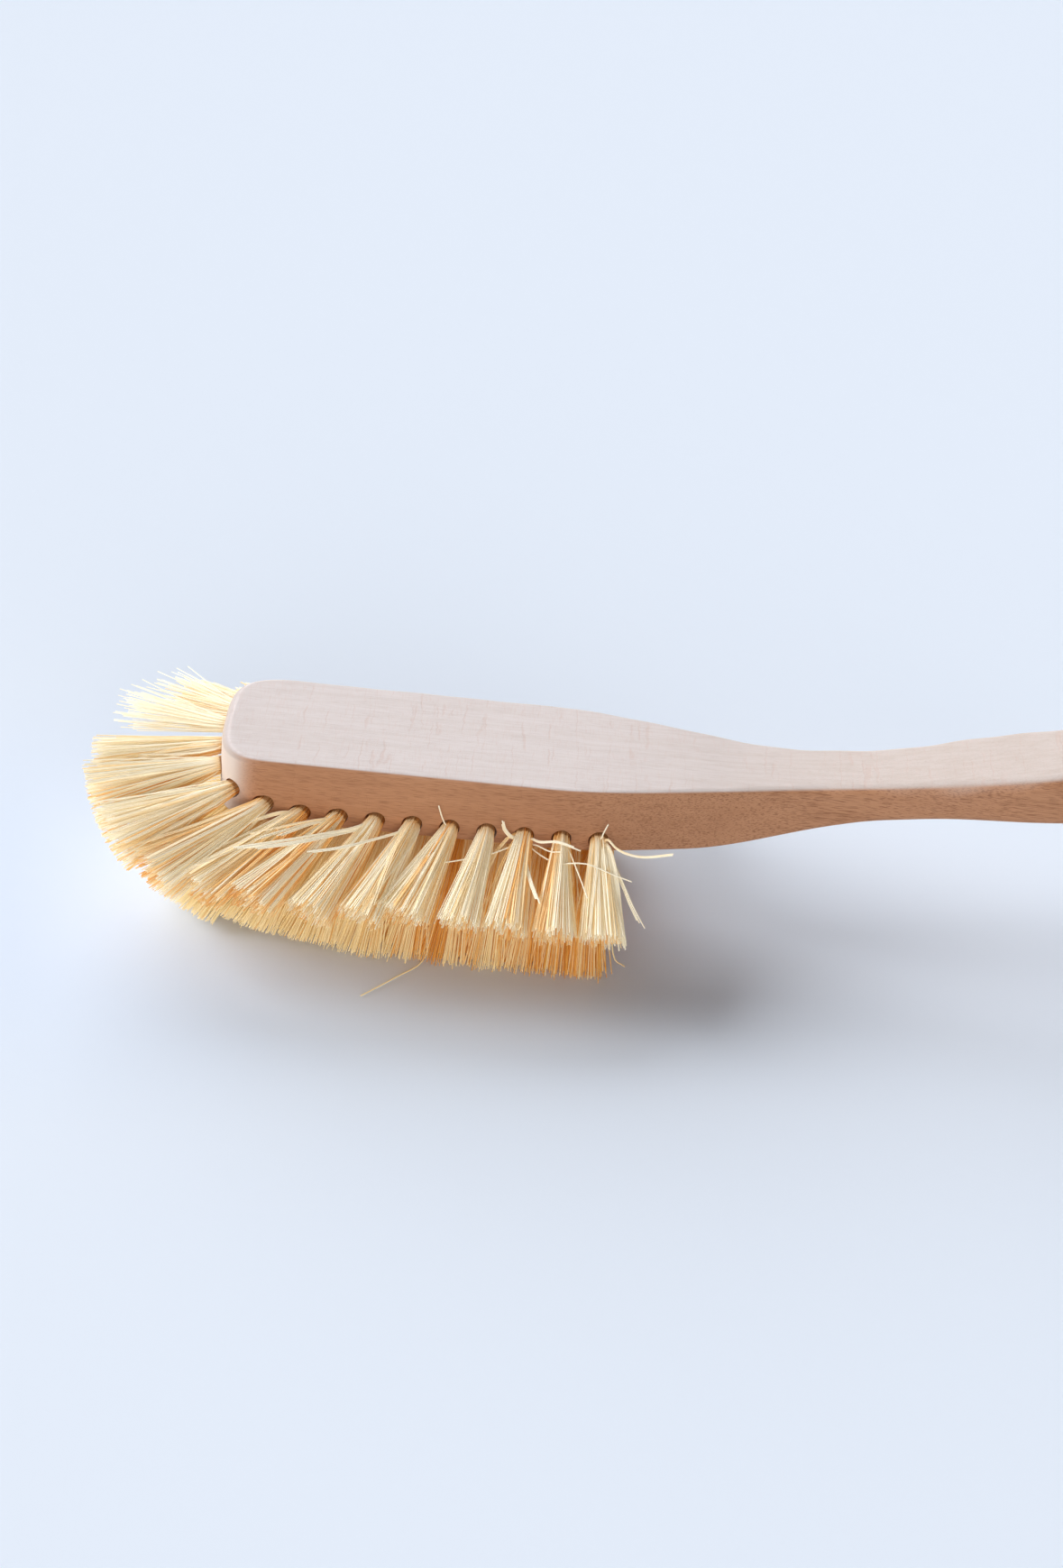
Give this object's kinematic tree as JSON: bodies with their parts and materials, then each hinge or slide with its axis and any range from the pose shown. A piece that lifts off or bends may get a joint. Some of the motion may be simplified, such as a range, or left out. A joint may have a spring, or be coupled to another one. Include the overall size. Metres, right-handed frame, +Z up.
{
  "type": "dish brush",
  "caption": "Long-handled wooden dish brush: a flat rounded head, slim neck and rising grip in one piece, with splayed tufts of plant fibre set in blind holes.",
  "frame": {"origin": "bottom centre of the bounding box, on the plane that the brush stands on with its bristles", "axes": "+X along the brush from the nose to the end of the handle, +Z up out of the flat top of the head, +Y to the right of a hand on the handle"},
  "size_m": [0.2616, 0.09, 0.066],
  "materials": {
    "beech": "raw sanded beech, fine pores, matt",
    "plant_fibre": "stiff pale yellow plant fibre, satin"
  },
  "bodies": {
    "root": {"beech_block": "beech", "tuft_nose_1": "plant_fibre", "tuft_nose_2": "plant_fibre", "tuft_nose_3": "plant_fibre", "tuft_nose_4": "plant_fibre", "tuft_nose_5": "plant_fibre", "tuft_left_01": "plant_fibre", "tuft_left_02": "plant_fibre", "tuft_left_03": "plant_fibre", "tuft_left_04": "plant_fibre", "tuft_left_05": "plant_fibre", "tuft_left_06": "plant_fibre", "tuft_left_07": "plant_fibre", "tuft_left_08": "plant_fibre", "tuft_left_09": "plant_fibre", "tuft_left_10": "plant_fibre", "tuft_right_01": "plant_fibre", "tuft_right_02": "plant_fibre", "tuft_right_03": "plant_fibre", "tuft_right_04": "plant_fibre", "tuft_right_05": "plant_fibre", "tuft_right_06": "plant_fibre", "tuft_right_07": "plant_fibre", "tuft_right_08": "plant_fibre", "tuft_right_09": "plant_fibre", "tuft_right_10": "plant_fibre", "tuft_inner_left_01": "plant_fibre", "tuft_inner_left_02": "plant_fibre", "tuft_inner_left_03": "plant_fibre", "tuft_inner_left_04": "plant_fibre", "tuft_inner_left_05": "plant_fibre", "tuft_inner_left_06": "plant_fibre", "tuft_inner_left_07": "plant_fibre", "tuft_inner_left_08": "plant_fibre", "tuft_inner_left_09": "plant_fibre", "tuft_inner_left_10": "plant_fibre", "tuft_inner_right_01": "plant_fibre", "tuft_inner_right_02": "plant_fibre", "tuft_inner_right_03": "plant_fibre", "tuft_inner_right_04": "plant_fibre", "tuft_inner_right_05": "plant_fibre", "tuft_inner_right_06": "plant_fibre", "tuft_inner_right_07": "plant_fibre", "tuft_inner_right_08": "plant_fibre", "tuft_inner_right_09": "plant_fibre", "tuft_inner_right_10": "plant_fibre", "tuft_centre_01": "plant_fibre", "tuft_centre_02": "plant_fibre", "tuft_centre_03": "plant_fibre", "tuft_centre_04": "plant_fibre", "tuft_centre_05": "plant_fibre", "tuft_centre_06": "plant_fibre", "tuft_centre_07": "plant_fibre", "tuft_centre_08": "plant_fibre", "tuft_centre_09": "plant_fibre", "tuft_centre_10": "plant_fibre"}
  },
  "joints": []
}
